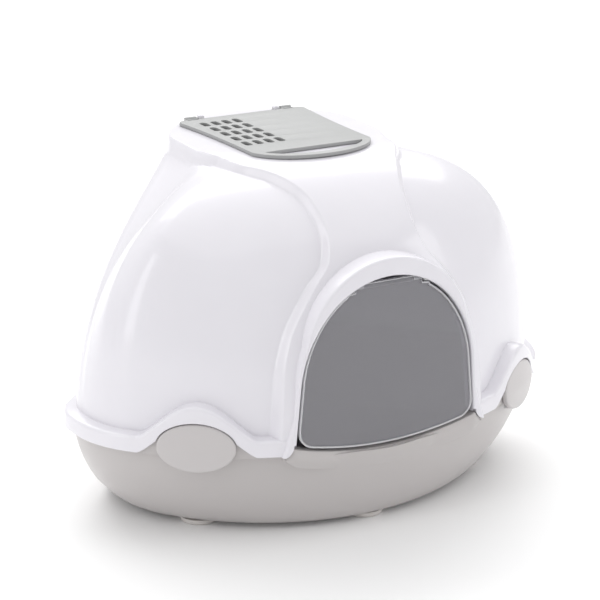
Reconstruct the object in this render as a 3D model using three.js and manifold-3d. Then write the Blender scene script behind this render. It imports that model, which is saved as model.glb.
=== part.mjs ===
// Corner cat litter box with a lift-off hood, a swing flap, a hinged vent lid and two side latches.
// Millimetres, +Z up, +Y to the back corner; the origin is the bottom centre of the whole box.
import * as THREE from 'three';
import * as BufferGeometryUtils from 'three/addons/utils/BufferGeometryUtils.js';
import Module from 'manifold-3d';

const wasm = await Module();
wasm.setup();

// ---------------------------------------------------------------- driving dimensions
const RIM_BOTTOM = 101;          // lower edge of the hood's skirt
const LIP_HEIGHT = 18;           // height of the skirt
const LEDGE_TOP = RIM_BOTTOM + LIP_HEIGHT;
const LEDGE_THICK = 3;
const LIP_THICK = 3;
const WALL = 3;                  // hood and tray wall
const DOME_TOP = 371;            // height where the side panels end under the raised plateau
const BAND_RAISE = 9;            // how far the front band and the plateau stand proud of the panels
const PLATEAU_TOP = DOME_TOP + BAND_RAISE;
const TRAY_WALL_TOP = 97;
const TRAY_BOTTOM = 6;
const FLOOR_THICK = 3.2;

// Plan outlines are half outlines from the middle of the front to the back corner: a front arc,
// a side arc, a straight side, a corner arc, a wall at 45 degrees and the rounded back corner.
const RIM = { half: 286, front: -233, frontR: 344, sideY: -39, side: 8, cornerR: 58, backR: 100 };
const FOOT = { half: 272, front: -219, frontR: 330, sideY: -39, side: 8, cornerR: 48, backR: 96 };
const TOP = { half: 110, front: -76, frontR: 140, sideY: 6, side: 56, cornerR: 60, backR: 118 };
const TRAY_TOP = { half: 275, front: -222, frontR: 333, sideY: -39, side: 8, cornerR: 50, backR: 96 };
const TRAY_BASE = { half: 218, front: -187, frontR: 245, sideY: -23, side: 20, cornerR: 80, backR: 90 };

// Side profile of the hood between the foot and the plateau, by station along the outline:
// how far it runs straight up, how far it arrives from, and the angle it arrives at.
const PROFILE = [
  { at: 0, up: 0.62, over: 0.70, angle: 0 },
  { at: 0.6, up: 0.64, over: 0.72, angle: 0 },
  { at: 1, up: 0.70, over: 0.72, angle: 2 },
  { at: 1.6, up: 0.70, over: 0.64, angle: 14 },
  { at: 2, up: 0.66, over: 0.45, angle: 30 },
  { at: 3, up: 0.62, over: 0.22, angle: 48 },
  { at: 4, up: 0.60, over: 0.20, angle: 52 },
  { at: 6, up: 0.60, over: 0.20, angle: 54 },
];

// Half width of the raised front band against the height plus depth of the point on it.
const BAND = [
  { at: -123, half: 128 },
  { at: -11, half: 121 },
  { at: 32, half: 111 },
  { at: 82, half: 83 },
  { at: 112, half: 60 },
  { at: 147, half: 54 },
  { at: 199, half: 58 },
  { at: 261, half: 77 },
  { at: 308, half: 100 },
  { at: 420, half: 112 },
];

// Doorway: a three-centred arch in an upright portal that leans forward a little.
const DOOR = { top: 281.5, topR: 98, sideR: 125, turn: 50, end: 86, foot: 112, lobeR: 13 };
const PORTAL = { face: -215, lean: 0.03, ringR: 99, ringZ: 203, depth: 90, hollow: 14,
  strip: 4, jamb: 12, roomHalf: 90, roomBack: -120, roomLow: 110 };
const SILL = { top: 92.8, smile: 0.0013, low: 99, drop: 24, front: -215, back: -206, half: 121,
  lobeTop: 100, jambGap: 4.1 };

const FLAP = { gap: 2.4, thick: 3, y: -213, bottom: 96.6, smile: 0.00125, corner: 19, cornerX: 87,
  axisZ: 273.5, tubeR: 3.4, tubeX: 38, shoulderZ: 258.5, shoulderX: 57, topX: 30 };
const FLAP_PIN = { r: 2.2, from: 30, to: 47.5, bore: 2.5 };
const FLAP_BRACKET = { x: [42.5, 47], y: [-217, -209], z: [269.9, 283] };
const VENT = { half: 66, front: -44, back: 104, corner: 14, ledge: 6, ledgeZ: 372 };
const LID = { front: -51, back: 116, halfFront: 73, halfBack: 80, waist: 5, corner: 9, thick: 4, gap: 0.4,
  bow: 40, bowWidth: 11, windowHalf: 60, windowBack: -56 };
const LID_PIN = { r: 1.3, bore: 1.6, y: 121.5, z: 383.5, knuckleR: 2.9, boss: 48, from: 54, to: 68 };
const SLOT = { columns: 4, rows: 5, pitchX: 13.5, pitchY: 25, width: 8.2, length: 18.5,
  firstX: -59, firstY: 88 };
const FRAME = { gap: 0.6, lift: 0.3, height: 7, wall: 3, floor: 1.6, border: 8, columns: 4, rows: 5, bar: 3 };
const PAD = { gap: 0.5, lift: 0.3, height: 4.6 };
const LATCH = { half: 42, tall: 26, z: 110.5, angle: -54, front: 0.8, back: -3.9, gap: 1.5,
  bump: 64, rise: 37,
  power: 1.3 };
const LATCH_PIN = { r: 1.5, bore: 1.8, z: 92, inset: 6.9, half: 30, knuckleR: 3.6, knuckle: [16, 24],
  boss: 14, bossR: 2.5, bossTall: 6, bossFront: -4.9, bossBack: -15 };
const FEET = [[-166, -100], [0, -168], [166, -100], [-110, 95], [110, 95]];
const FOOT_PAD = { r: 21, edge: 3, gap: 0.3 };

const DEG = Math.PI / 180;
const CENTRE_SHIFT = -7.55;      // brings the middle of the whole box onto the origin

const finish = {
  hood: { color: 0xf3f1f6, roughness: 0.22, metalness: 0 },
  tray: { color: 0xc9c4c2, roughness: 0.38, metalness: 0 },
  latch: { color: 0xc7c4c5, roughness: 0.35, metalness: 0 },
  lid: { color: 0xb9beba, roughness: 0.45, metalness: 0 },
  flap: { color: 0x8f8b99, roughness: 0.15, metalness: 0, transparent: true, opacity: 0.6 },
  pin: { color: 0xaaa9a8, roughness: 0.4, metalness: 0 },
  filter: { color: 0x2b2c2e, roughness: 0.95, metalness: 0 },
  foot: { color: 0xd8d4d0, roughness: 0.7, metalness: 0 },
};

const model = new THREE.Group();
model.position.y = CENTRE_SHIFT;

function add(name, geometry, look) {
  const mesh = new THREE.Mesh(geometry, new THREE.MeshStandardMaterial(look));
  mesh.name = name;
  model.add(mesh);
  return mesh;
}

// ---------------------------------------------------------------- solids
function toSolid(geometry) {
  const plain = new THREE.BufferGeometry();
  plain.setAttribute('position', geometry.getAttribute('position'));
  if (geometry.index) plain.setIndex(geometry.index);
  const merged = BufferGeometryUtils.mergeVertices(plain, 1e-4);
  return new wasm.Manifold(new wasm.Mesh({
    numProp: 3,
    vertProperties: new Float32Array(merged.getAttribute('position').array),
    triVerts: new Uint32Array(merged.index.array),
  }));
}

function toGeometry(solid) {
  const mesh = solid.getMesh();
  const geometry = new THREE.BufferGeometry();
  geometry.setAttribute('position', new THREE.BufferAttribute(mesh.vertProperties, 3));
  geometry.setIndex(new THREE.BufferAttribute(mesh.triVerts, 1));
  geometry.computeVertexNormals();
  return geometry;
}

// Closed skin over rings of equal length, with a fan at each end.
function skin(rings) {
  const n = rings[0].length;
  const positions = [];
  const index = [];
  const centre = (ring) => ring.reduce((sum, p) => sum.add(p), new THREE.Vector3()).divideScalar(n);
  for (const ring of rings) for (const p of ring) positions.push(p.x, p.y, p.z);
  for (let i = 0; i + 1 < rings.length; i++) {
    for (let j = 0; j < n; j++) {
      const a = i * n + j;
      const b = i * n + (j + 1) % n;
      index.push(a, b, b + n, a, b + n, a + n);
    }
  }
  const first = centre(rings[0]);
  const last = centre(rings[rings.length - 1]);
  positions.push(first.x, first.y, first.z, last.x, last.y, last.z);
  const lastStart = (rings.length - 1) * n;
  for (let j = 0; j < n; j++) {
    const k = (j + 1) % n;
    index.push(rings.length * n, k, j);
    index.push(rings.length * n + 1, lastStart + j, lastStart + k);
  }
  const geometry = new THREE.BufferGeometry();
  geometry.setAttribute('position', new THREE.Float32BufferAttribute(positions, 3));
  geometry.setIndex(index);
  return geometry;
}

function prism(shape, low, high, curveSegments = 16) {
  const options = { depth: high - low, bevelEnabled: false, curveSegments };
  const geometry = new THREE.ExtrudeGeometry(shape, options);
  return geometry.translate(0, 0, low);
}

// Prism whose shape lies in X and Z and which runs along Y from front to back.
function prismAlongY(shape, front, back, curveSegments = 16) {
  const options = { depth: back - front, bevelEnabled: false, curveSegments };
  const geometry = new THREE.ExtrudeGeometry(shape, options);
  return geometry.rotateX(Math.PI / 2).translate(0, back, 0);
}

function box(x, y, z) {
  const geometry = new THREE.BoxGeometry(x[1] - x[0], y[1] - y[0], z[1] - z[0]);
  return geometry.translate((x[0] + x[1]) / 2, (y[0] + y[1]) / 2, (z[0] + z[1]) / 2);
}

// Cylinder from one point to another.
function rod(from, to, radius, sides = 16) {
  const way = new THREE.Vector3().subVectors(to, from);
  const geometry = new THREE.CylinderGeometry(radius, radius, way.length(), sides);
  geometry.translate(0, way.length() / 2, 0);
  geometry.applyQuaternion(new THREE.Quaternion().setFromUnitVectors(
    new THREE.Vector3(0, 1, 0), way.clone().normalize()));
  return geometry.translate(from.x, from.y, from.z);
}

// ---------------------------------------------------------------- outlines
function outlineArcs(o) {
  const frontY = o.front + o.frontR;
  const dy = o.sideY - frontY;
  const sideR = (o.frontR ** 2 - o.half ** 2 - dy ** 2) / (2 * (o.frontR - o.half));
  const sideX = o.half - sideR;
  const meet = Math.atan2(o.sideY - frontY, sideX);
  const cornerX = o.half - o.cornerR;
  const cornerY = o.sideY + o.side;
  const backY = cornerX + cornerY + (o.cornerR - o.backR) * Math.SQRT2;
  return { frontY, sideR, sideX, meet, cornerX, cornerY, backY };
}

// Point of a half outline at station t: 0 front middle, 1 and 2 the side arc's ends, 3 and 4 the
// corner arc's ends, 5 the end of the straight wall, 6 the back corner.
function outlinePoint(o, t) {
  const a = outlineArcs(o);
  const part = Math.min(Math.floor(t), 5);
  const u = t - part;
  const arc = (x, y, r, angle) => new THREE.Vector2(x + r * Math.cos(angle), y + r * Math.sin(angle));
  if (part === 0) return arc(0, a.frontY, o.frontR, -Math.PI / 2 + u * (a.meet + Math.PI / 2));
  if (part === 1) return arc(a.sideX, o.sideY, a.sideR, a.meet * (1 - u));
  if (part === 2) return new THREE.Vector2(o.half, o.sideY + u * o.side);
  if (part === 3) return arc(a.cornerX, a.cornerY, o.cornerR, u * Math.PI / 4);
  const wallStart = arc(a.cornerX, a.cornerY, o.cornerR, Math.PI / 4);
  const wallEnd = arc(0, a.backY, o.backR, Math.PI / 4);
  if (part === 4) return wallStart.lerp(wallEnd, u);
  return arc(0, a.backY, o.backR, (Math.PI / 4) * (1 + u));
}

function inset(o, d) {
  return { ...o, half: o.half - d, front: o.front + d, frontR: o.frontR - d,
    cornerR: Math.max(o.cornerR - d, 6), backR: Math.max(o.backR - d, 6) };
}

// Stations of one half, with the given number of steps in each of the six stretches.
function stations(steps) {
  const list = [];
  steps.forEach((count, part) => {
    for (let i = 0; i < count; i++) list.push(part + i / count);
  });
  list.push(6);
  return list;
}

// A whole ring, counter-clockwise from the front middle, from a function of the station.
function ring(steps, pointAt) {
  const half = stations(steps);
  const right = half.map((t) => pointAt(t));
  const left = half.slice(1, -1).reverse().map((t) => {
    const p = pointAt(t);
    return new THREE.Vector3(-p.x, p.y, p.z);
  });
  return [...right, ...left];
}

const flat = (o, z) => (t) => {
  const p = outlinePoint(o, t);
  return new THREE.Vector3(p.x, p.y, z);
};

function table(rows, at, key) {
  const i = Math.min(Math.max(rows.findIndex((row) => row.at > at), 1), rows.length - 1);
  const after = at >= rows[rows.length - 1].at ? rows.length - 1 : i;
  const low = rows[after - 1];
  const high = rows[after];
  const u = THREE.MathUtils.clamp((at - low.at) / (high.at - low.at), 0, 1);
  return THREE.MathUtils.lerp(low[key], high[key], u);
}

// ---------------------------------------------------------------- latch arches in the skirt
const LATCH_MID = new THREE.Vector2(
  RIM.frontR * Math.cos(LATCH.angle * DEG),
  RIM.front + RIM.frontR + RIM.frontR * Math.sin(LATCH.angle * DEG));

// How much the skirt and the tray's edge rise at a place, above the two latches.
function archRise(x, y) {
  const along = Math.hypot(Math.abs(x) - LATCH_MID.x, y - LATCH_MID.y);
  if (along >= LATCH.bump) return 0;
  return LATCH.rise * Math.cos((Math.PI / 2) * along / LATCH.bump) ** LATCH.power;
}

// Ring on an outline whose height rises over the latches.
const arched = (o, z) => (t) => {
  const p = outlinePoint(o, t);
  const rim = outlinePoint(RIM, t);
  return new THREE.Vector3(p.x, p.y, z + archRise(rim.x, rim.y));
};

const EDGE_STEPS = [22, 5, 1, 4, 1, 4];

// ---------------------------------------------------------------- hood
function domePoint(t, s, skinDepth) {
  const foot = outlinePoint(inset(FOOT, skinDepth), t);
  const top = outlinePoint(inset(TOP, skinDepth), t);
  const up = table(PROFILE, t, 'up');
  const over = table(PROFILE, t, 'over');
  const angle = table(PROFILE, t, 'angle') * DEG;
  const r = 1 - s;
  const out = r ** 3 + 3 * r * r * s + 3 * r * s * s * over * Math.cos(angle);
  const rise = 3 * r * r * s * up + 3 * r * s * s * (1 - over * Math.sin(angle)) + s ** 3;
  const plan = top.lerp(foot, out);
  const height = DOME_TOP - skinDepth - RIM_BOTTOM - 8;
  return new THREE.Vector3(plan.x, plan.y, RIM_BOTTOM + 8 + height * rise);
}

// Outer face: the plain dome with the front band pushed out of it.
function hoodPoint(t, s) {
  const p = domePoint(t, s, 0);
  if (p.y > TOP.front + 60) return p;
  const half = table(BAND, p.y + p.z, 'half');
  const mask = THREE.MathUtils.smoothstep(half + 5 - Math.abs(p.x), 0, 9);
  const up = THREE.MathUtils.smoothstep(p.z, 250, 350);
  const push = new THREE.Vector3(0, up - 1, up).normalize();
  const low = 1 + 0.4 * (1 - THREE.MathUtils.smoothstep(p.z, 140, 230));
  return p.addScaledVector(push, BAND_RAISE * low * mask);
}

const HOOD_STEPS = [14, 5, 1, 3, 2, 3];
const HOOD_LEVELS = 12;
const INNER_STEPS = [8, 3, 1, 3, 1, 3];
const INNER_LEVELS = 8;

function domeSolid(outer) {
  const levels = outer ? HOOD_LEVELS : INNER_LEVELS;
  const rings = [];
  for (let i = 0; i <= levels; i++) {
    const s = i / levels;
    const at = outer ? (t) => hoodPoint(t, s) : (t) => domePoint(t, s, WALL);
    rings.push(ring(outer ? HOOD_STEPS : INNER_STEPS, at));
  }
  return toSolid(skin(rings));
}

function plateauSolid() {
  const edge = inset(TOP, -6);
  const rings = [
    ring([6, 5, 1, 4, 1, 4], flat(inset(edge, 6), DOME_TOP - WALL)),
    ring([6, 5, 1, 4, 1, 4], flat(edge, DOME_TOP)),
    ring([6, 5, 1, 4, 1, 4], flat(edge, PLATEAU_TOP - 3)),
    ring([6, 5, 1, 4, 1, 4], flat(inset(edge, 3), PLATEAU_TOP)),
  ];
  return toSolid(skin(rings));
}

// Skirt: an upright lip and a flat ledge back to the foot of the wall, arched over the latches.
function skirtSolid() {
  const lipInner = inset(RIM, LIP_THICK);
  const under = LEDGE_TOP - LEDGE_THICK;
  const rings = [
    ring(EDGE_STEPS, arched(RIM, RIM_BOTTOM)),
    ring(EDGE_STEPS, arched(RIM, LEDGE_TOP - 3)),
    ring(EDGE_STEPS, arched(inset(RIM, 1), LEDGE_TOP - 1)),
    ring(EDGE_STEPS, arched(inset(RIM, 3), LEDGE_TOP)),
    ring(EDGE_STEPS, wallAt(LEDGE_TOP)),
    ring(EDGE_STEPS, wallAt(under)),
    ring(EDGE_STEPS, arched(lipInner, under)),
    ring(EDGE_STEPS, arched(lipInner, RIM_BOTTOM)),
  ];
  return toSolid(band(rings));
}

// The middle of the dome's wall at the height of the arched ledge.
const wallAt = (z) => (t) => {
  const rim = outlinePoint(RIM, t);
  const height = z + archRise(rim.x, rim.y);
  let low = 0;
  let high = 1;
  for (let i = 0; i < 24; i++) {
    const middle = (low + high) / 2;
    if (domePoint(t, middle, WALL - 0.6).z < height) low = middle;
    else high = middle;
  }
  const p = domePoint(t, low, WALL - 0.6);
  return new THREE.Vector3(p.x, p.y, height);
};

// Closed ring-shaped body: the last ring joins the first.
function band(rings) {
  const n = rings[0].length;
  const positions = [];
  const index = [];
  for (const one of rings) for (const p of one) positions.push(p.x, p.y, p.z);
  for (let i = 0; i < rings.length; i++) {
    const next = (i + 1) % rings.length;
    for (let j = 0; j < n; j++) {
      const k = (j + 1) % n;
      index.push(i * n + j, i * n + k, next * n + k, i * n + j, next * n + k, next * n + j);
    }
  }
  const geometry = new THREE.BufferGeometry();
  geometry.setAttribute('position', new THREE.Float32BufferAttribute(positions, 3));
  geometry.setIndex(index);
  return geometry;
}

// Doorway outline in X and Z, grown by an offset, down to a given height.
function doorShape(grow, bottom) {
  const turn = DOOR.turn * DEG;
  const end = DOOR.end * DEG;
  const topZ = DOOR.top - DOOR.topR;
  const sideX = (DOOR.topR - DOOR.sideR) * Math.sin(turn);
  const sideZ = topZ + (DOOR.topR - DOOR.sideR) * Math.cos(turn);
  const shape = new THREE.Shape();
  shape.moveTo(-DOOR.foot - grow, bottom);
  shape.lineTo(DOOR.foot + grow, bottom);
  shape.absarc(sideX, sideZ, DOOR.sideR + grow, Math.PI / 2 - end, Math.PI / 2 - turn, false);
  shape.absarc(0, topZ, DOOR.topR + grow, Math.PI / 2 - turn, Math.PI / 2 + turn, false);
  shape.absarc(-sideX, sideZ, DOOR.sideR + grow, Math.PI / 2 + turn, Math.PI / 2 + end, false);
  shape.closePath();
  return shape;
}

// Below the doorway the skirt is open, and its two ends are rounded lobes.
function lobeShape(side) {
  const x = DOOR.foot;
  const r = DOOR.lobeR;
  const shape = new THREE.Shape();
  shape.moveTo(side * (x - 2), RIM_BOTTOM - 5);
  shape.lineTo(side * (x + r), RIM_BOTTOM - 5);
  shape.lineTo(side * (x + r), RIM_BOTTOM - 0.5);
  shape.absarc(side * (x + r), RIM_BOTTOM - 0.5 + r, r, -Math.PI / 2,
    side > 0 ? -Math.PI : 0, side > 0);
  shape.lineTo(side * (x - 2), RIM_BOTTOM - 0.5 + r);
  shape.closePath();
  return shape;
}

// Upright portal round the doorway, a disc and two posts, its face leaning forward.
function portalSolid() {
  const shape = new THREE.Shape();
  const foot = DOOR.foot + PORTAL.jamb;
  const bottom = RIM_BOTTOM;
  const low = PORTAL.ringZ - 64;
  shape.moveTo(foot, bottom);
  shape.lineTo(DOOR.foot, low);
  shape.absarc(0, PORTAL.ringZ, PORTAL.ringR, -0.1, Math.PI + 0.1, false);
  shape.lineTo(-DOOR.foot, low);
  shape.lineTo(-foot, bottom);
  shape.closePath();
  const geometry = prismAlongY(shape, PORTAL.face, PORTAL.face + PORTAL.depth, 14);
  const position = geometry.getAttribute('position');
  for (let i = 0; i < position.count; i++) {
    if (position.getY(i) > PORTAL.face + 1) continue;
    position.setY(i, PORTAL.face - PORTAL.lean * (position.getZ(i) - RIM_BOTTOM));
  }
  const back = PORTAL.face + PORTAL.depth;
  const strip = toSolid(prismAlongY(doorShape(PORTAL.strip, bottom), PORTAL.face, back, 14));
  return toSolid(geometry).add(strip);
}

function roundedRectangle(half, front, back, corner) {
  const shape = new THREE.Shape();
  shape.moveTo(half, front + corner);
  shape.lineTo(half, back - corner);
  shape.absarc(half - corner, back - corner, corner, 0, Math.PI / 2, false);
  shape.absarc(-half + corner, back - corner, corner, Math.PI / 2, Math.PI, false);
  shape.absarc(-half + corner, front + corner, corner, Math.PI, 1.5 * Math.PI, false);
  shape.absarc(half - corner, front + corner, corner, 1.5 * Math.PI, 2 * Math.PI, false);
  return shape;
}

function hood() {
  const inner = domeSolid(false);
  let solid = domeSolid(true).add(plateauSolid());
  const grown = doorShape(PORTAL.hollow, RIM_BOTTOM - 5);
  const { roomHalf, roomBack, roomLow } = PORTAL;
  const hollow = toSolid(prismAlongY(grown, PORTAL.face - 2.4, roomBack, 10));
  const hollowRoom = toSolid(box([-roomHalf, roomHalf], [-260, roomBack], [roomLow, 400]));
  solid = solid.add(portalSolid()).subtract(inner).subtract(hollow.intersect(hollowRoom));
  solid = solid.add(skirtSolid());
  solid = solid.subtract(toSolid(prismAlongY(doorShape(0, RIM_BOTTOM - 30), -300, -100, 12)));
  for (const side of [1, -1]) {
    solid = solid.subtract(toSolid(prismAlongY(lobeShape(side), -300, -150, 6)));
    solid = solid.subtract(toSolid(latchOval(side, LATCH.gap, -12, 12)));
  }
  const inside = VENT.ledge;
  const vent = roundedRectangle(VENT.half, VENT.front, VENT.back, VENT.corner);
  const ventLow = roundedRectangle(VENT.half - inside, VENT.front + inside, VENT.back - inside,
    VENT.corner - inside);
  solid = solid.subtract(toSolid(prism(vent, VENT.ledgeZ, 420, 5)));
  solid = solid.subtract(toSolid(prism(ventLow, 300, 420, 5)));
  for (const side of [1, -1]) {
    solid = solid.add(toSolid(box([side * LID_PIN.boss - 3, side * LID_PIN.boss + 3],
      [LID_PIN.y - 4, LID_PIN.y + 4], [PLATEAU_TOP - 1, LID_PIN.z + 3.6])));
    solid = solid.subtract(toSolid(rod(new THREE.Vector3(side * 40, LID_PIN.y, LID_PIN.z),
      new THREE.Vector3(side * 56, LID_PIN.y, LID_PIN.z), LID_PIN.bore)));
  }
  const clear = ring(EDGE_STEPS, flat(inset(RIM, LIP_THICK + 0.01), 60));
  const clearTop = ring(EDGE_STEPS, arched(inset(RIM, LIP_THICK + 0.01), LEDGE_TOP - LEDGE_THICK - 0.01));
  return toGeometry(solid.subtract(toSolid(skin([clear, clearTop]))));
}
add('hood_shell', hood(), finish.hood);

// ---------------------------------------------------------------- latches
// Places a body drawn with X along the edge, Y up and Z outwards onto one latch's station.
function toLatchPlace(geometry, side) {
  const out = new THREE.Vector3(side * Math.cos(LATCH.angle * DEG), Math.sin(LATCH.angle * DEG), 0);
  const up = new THREE.Vector3(0, 0, 1);
  const along = new THREE.Vector3().crossVectors(up, out);
  const place = new THREE.Matrix4().makeBasis(along, up, out);
  place.setPosition(side * LATCH_MID.x, LATCH_MID.y, 0);
  return geometry.applyMatrix4(place);
}

function latchOval(side, grow, back, front) {
  const shape = new THREE.Shape();
  shape.absellipse(0, LATCH.z, LATCH.half + grow, LATCH.tall + grow, 0, 2 * Math.PI, false, 0);
  const geometry = new THREE.ExtrudeGeometry(shape, { depth: front - back, bevelEnabled: false,
    curveSegments: 24 });
  return toLatchPlace(geometry.translate(0, 0, back), side);
}

function latch(side) {
  const ringBand = (offset, low, high) => toSolid(rod(new THREE.Vector3(0, RIM.front + RIM.frontR, low),
    new THREE.Vector3(0, RIM.front + RIM.frontR, high), RIM.frontR + offset, 160));
  let solid = toSolid(latchOval(side, 0, -12, 8)).intersect(ringBand(LATCH.front, 60, 160));
  solid = solid.subtract(ringBand(LATCH.back, 50, 170));
  for (const end of [1, -1]) {
    const [from, to] = LATCH_PIN.knuckle;
    const low = end > 0 ? from : -to;
    const knuckle = rod(new THREE.Vector3(low, LATCH_PIN.z, -LATCH_PIN.inset),
      new THREE.Vector3(low + to - from, LATCH_PIN.z, -LATCH_PIN.inset), LATCH_PIN.knuckleR);
    const web = box([low, low + to - from], [LATCH_PIN.z - 2.6, LATCH_PIN.z + 2.6],
      [-LATCH_PIN.inset, LATCH.back]);
    solid = solid.add(toSolid(toLatchPlace(knuckle, side)));
    solid = solid.add(toSolid(toLatchPlace(web, side)));
  }
  return toGeometry(solid.subtract(latchPinSolid(side, LATCH_PIN.bore, LATCH_PIN.half + 4)));
}

function latchPinSolid(side, radius, half) {
  return toSolid(toLatchPlace(rod(new THREE.Vector3(-half, LATCH_PIN.z, -LATCH_PIN.inset),
    new THREE.Vector3(half, LATCH_PIN.z, -LATCH_PIN.inset), radius), side));
}

for (const [side, name] of [[-1, 'left'], [1, 'right']]) {
  add(`latch_${name}`, latch(side), finish.latch);
  add(`latch_pin_${name}`, toGeometry(latchPinSolid(side, LATCH_PIN.r, LATCH_PIN.half)), finish.pin);
}

// ---------------------------------------------------------------- tray
function trayRing(steps, level, skinDepth) {
  const turn = (level * Math.PI) / 2;
  const out = Math.cos(turn) ** 1.38;
  const down = Math.sin(turn) ** 1.38;
  const top = inset(TRAY_TOP, skinDepth);
  const base = inset(TRAY_BASE, skinDepth);
  const low = TRAY_BOTTOM + (skinDepth > 0 ? FLOOR_THICK : 0);
  return ring(steps, (t) => {
    const p = outlinePoint(base, t).lerp(outlinePoint(top, t), out);
    return new THREE.Vector3(p.x, p.y, TRAY_WALL_TOP - (TRAY_WALL_TOP - low) * down);
  });
}

const TRAY_STEPS = [12, 4, 1, 3, 1, 3];
const TRAY_LEVELS = 7;

function trayShell(skinDepth) {
  const rings = [];
  for (let i = TRAY_LEVELS; i >= 0; i--) rings.push(trayRing(TRAY_STEPS, i / TRAY_LEVELS, skinDepth));
  if (skinDepth > 0) rings.push(ring(TRAY_STEPS, flat(inset(TRAY_TOP, skinDepth), TRAY_WALL_TOP + 60)));
  return toSolid(skin(rings));
}

// Upright edge of the tray that the hood's skirt slips over.
function trayEdge() {
  const outer = inset(RIM, LIP_THICK + 1.5);
  const inner = inset(RIM, LIP_THICK + 4.5);
  const top = LEDGE_TOP - LEDGE_THICK - 1.2;
  const rings = [
    ring(EDGE_STEPS, flat(inset(TRAY_TOP, 1.5), TRAY_WALL_TOP - 1.5)),
    ring(EDGE_STEPS, flat(outer, TRAY_WALL_TOP + 2)),
    ring(EDGE_STEPS, arched(outer, top)),
    ring(EDGE_STEPS, arched(inner, top)),
    ring(EDGE_STEPS, flat(inner, TRAY_WALL_TOP + 5)),
    ring(EDGE_STEPS, flat(inset(TRAY_TOP, 1.5), TRAY_WALL_TOP + 2)),
  ];
  return toSolid(band(rings));
}

// Boss that the latch's pin passes through, round below so that the latch swings clear of it.
function latchBoss(side) {
  const { boss, bossR, bossTall, bossFront, bossBack, z, inset: depth } = LATCH_PIN;
  const inner = box([-boss, boss], [z - bossR + 0.05, z + 1], [bossBack, -depth]);
  const block = toSolid(toLatchPlace(inner, side));
  const upper = toSolid(toLatchPlace(box([-boss, boss], [z, z + bossTall], [bossBack, bossFront]), side));
  const solid = block.add(upper).add(latchPinSolid(side, bossR, boss));
  return solid.subtract(latchPinSolid(side, LATCH_PIN.bore, LATCH_PIN.half + 4));
}

// Height of a shallow curve that is lowest in the middle, for the sill's top and the flap's bottom.
const smileZ = (piece, x, lowest) => lowest + piece.smile * x * x;

// Bulging sill under the doorway: its top dips in the middle and its lower edge is a wide U.
function sillSolid() {
  const steps = 24;
  const rings = [];
  for (let i = 0; i <= steps; i++) {
    const x = -SILL.half * Math.cos((Math.PI * i) / steps);
    const top = smileZ(SILL, x, SILL.top);
    const low = SILL.low - SILL.drop * Math.sqrt(Math.max(0, 1 - (x / SILL.half) ** 2));
    const wall = RIM.front + RIM.frontR - Math.sqrt((TRAY_TOP.frontR - 1.5) ** 2 - x * x);
    const foot = Math.min(wall, SILL.front);
    const back = Math.max(SILL.back, wall + 5);
    const front = Math.max(SILL.front, RIM.front + RIM.frontR - Math.sqrt(RIM.frontR ** 2 - x * x));
    const middle = Math.min(wall, front) * 0.4 + Math.min(foot, front) * 0.6 - 2;
    rings.push([
      new THREE.Vector3(x, back, top),
      new THREE.Vector3(x, front, top),
      new THREE.Vector3(x, middle, top - (top - low) * 0.55),
      new THREE.Vector3(x, wall + 2, low),
      new THREE.Vector3(x, back, low),
    ]);
  }
  let solid = toSolid(skin(rings));
  for (const side of [1, -1]) {
    const xs = [side * (DOOR.foot - SILL.jambGap), side * (SILL.half + 9)].sort((a, b) => a - b);
    solid = solid.subtract(toSolid(box(xs, [-260, -150], [SILL.lobeTop, 140])));
  }
  return solid;
}

// Room above the sill, where the tray's edge is left out.
function sillRoom() {
  const shape = new THREE.Shape();
  const half = DOOR.foot + 0.4;
  const steps = 16;
  shape.moveTo(half, 200);
  shape.lineTo(-half, 200);
  for (let i = 0; i <= steps; i++) {
    const x = -half + (2 * half * i) / steps;
    shape.lineTo(x, Math.min(smileZ(SILL, x, SILL.top), TRAY_WALL_TOP - 2.5));
  }
  shape.closePath();
  return toSolid(prismAlongY(shape, -260, -150));
}

function tray() {
  let solid = trayShell(0).subtract(trayShell(WALL));
  const lobeHalf = DOOR.foot + DOOR.lobeR + 4;
  const lobeRoom = toSolid(box([-lobeHalf, lobeHalf], [-260, -212], [TRAY_WALL_TOP - 2.5, 200]));
  solid = solid.add(trayEdge()).subtract(sillRoom()).subtract(lobeRoom).add(sillSolid());
  for (const side of [1, -1]) {
    solid = solid.add(latchBoss(side));
  }
  return toGeometry(solid);
}
add('base_tray', tray(), finish.tray);

FEET.forEach(([x, y], i) => {
  const { r, edge, gap } = FOOT_PAD;
  const profile = [[0, 0], [r - edge, 0], [r, edge], [r, TRAY_BOTTOM - gap], [0, TRAY_BOTTOM - gap]];
  const pad = new THREE.LatheGeometry(profile.map(([radius, z]) => new THREE.Vector2(radius, z)), 18);
  add(`foot_${i + 1}`, pad.rotateX(Math.PI / 2).translate(x, y, 0), finish.foot);
});

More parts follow.
